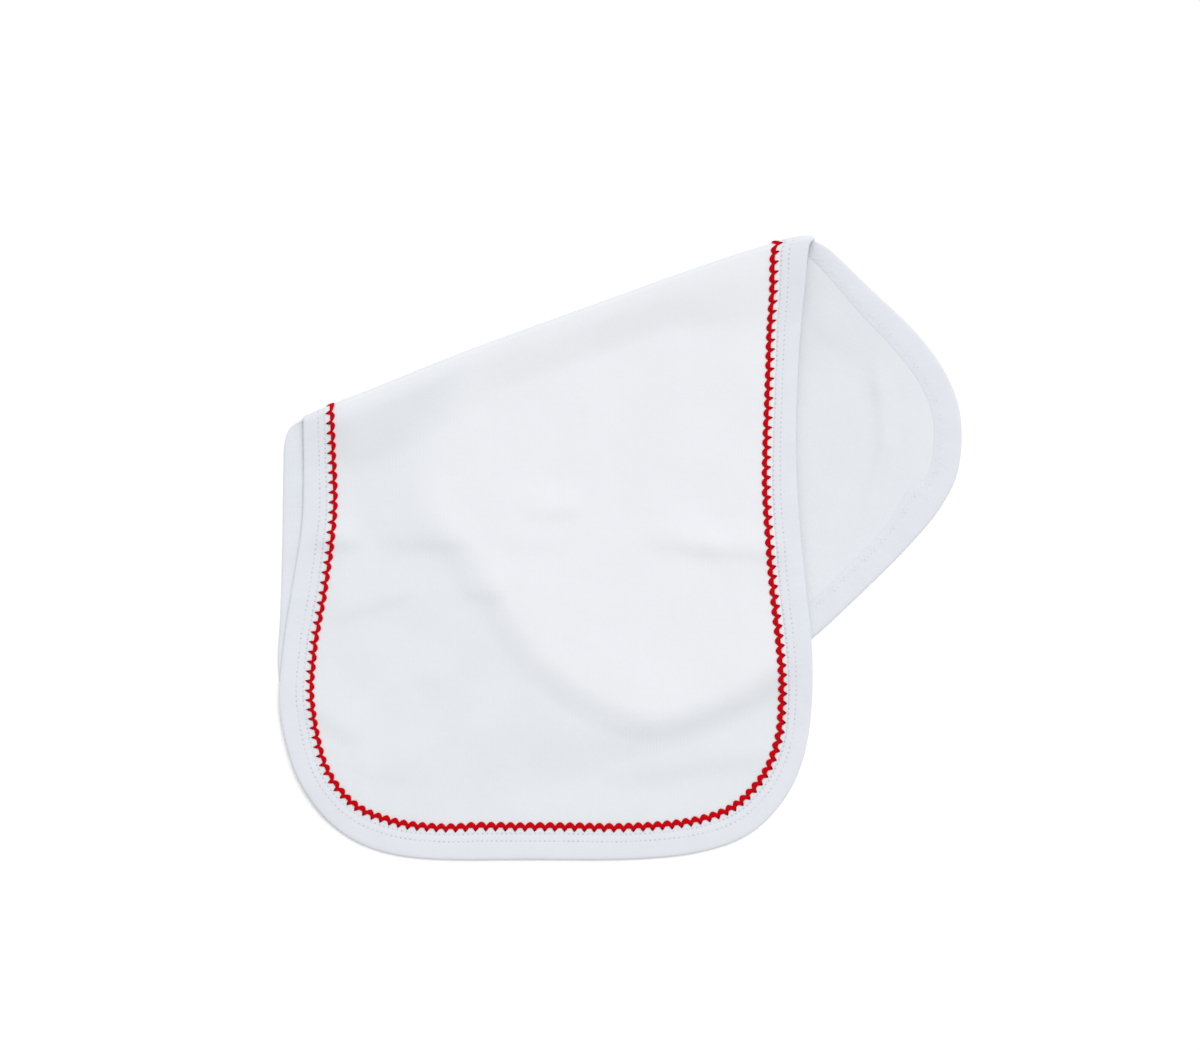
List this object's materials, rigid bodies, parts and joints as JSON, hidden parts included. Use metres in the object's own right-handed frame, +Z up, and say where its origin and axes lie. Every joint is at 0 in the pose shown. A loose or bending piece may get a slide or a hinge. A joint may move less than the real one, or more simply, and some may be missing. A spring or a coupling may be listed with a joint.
{
  "type": "burp cloth",
  "caption": "Contoured knit burp cloth with a bound edge and a red picot trim, folded once on a slant and laid flat.",
  "frame": {"origin": "middle of the folded outline, on the surface that the cloth rests on", "axes": "+Z up from the surface, +Y towards the folded edge, +X towards the end of the back flap that shows"},
  "size_m": [0.3287, 0.2993, 0.0098],
  "materials": {
    "white_knit": "matt cotton interlock knit",
    "white_binding": "matt cotton knit tape",
    "red_trim": "low-sheen braided thread"
  },
  "bodies": {
    "root": {"cloth": "white_knit", "binding": "white_binding", "picot_trim": "red_trim"}
  },
  "joints": []
}
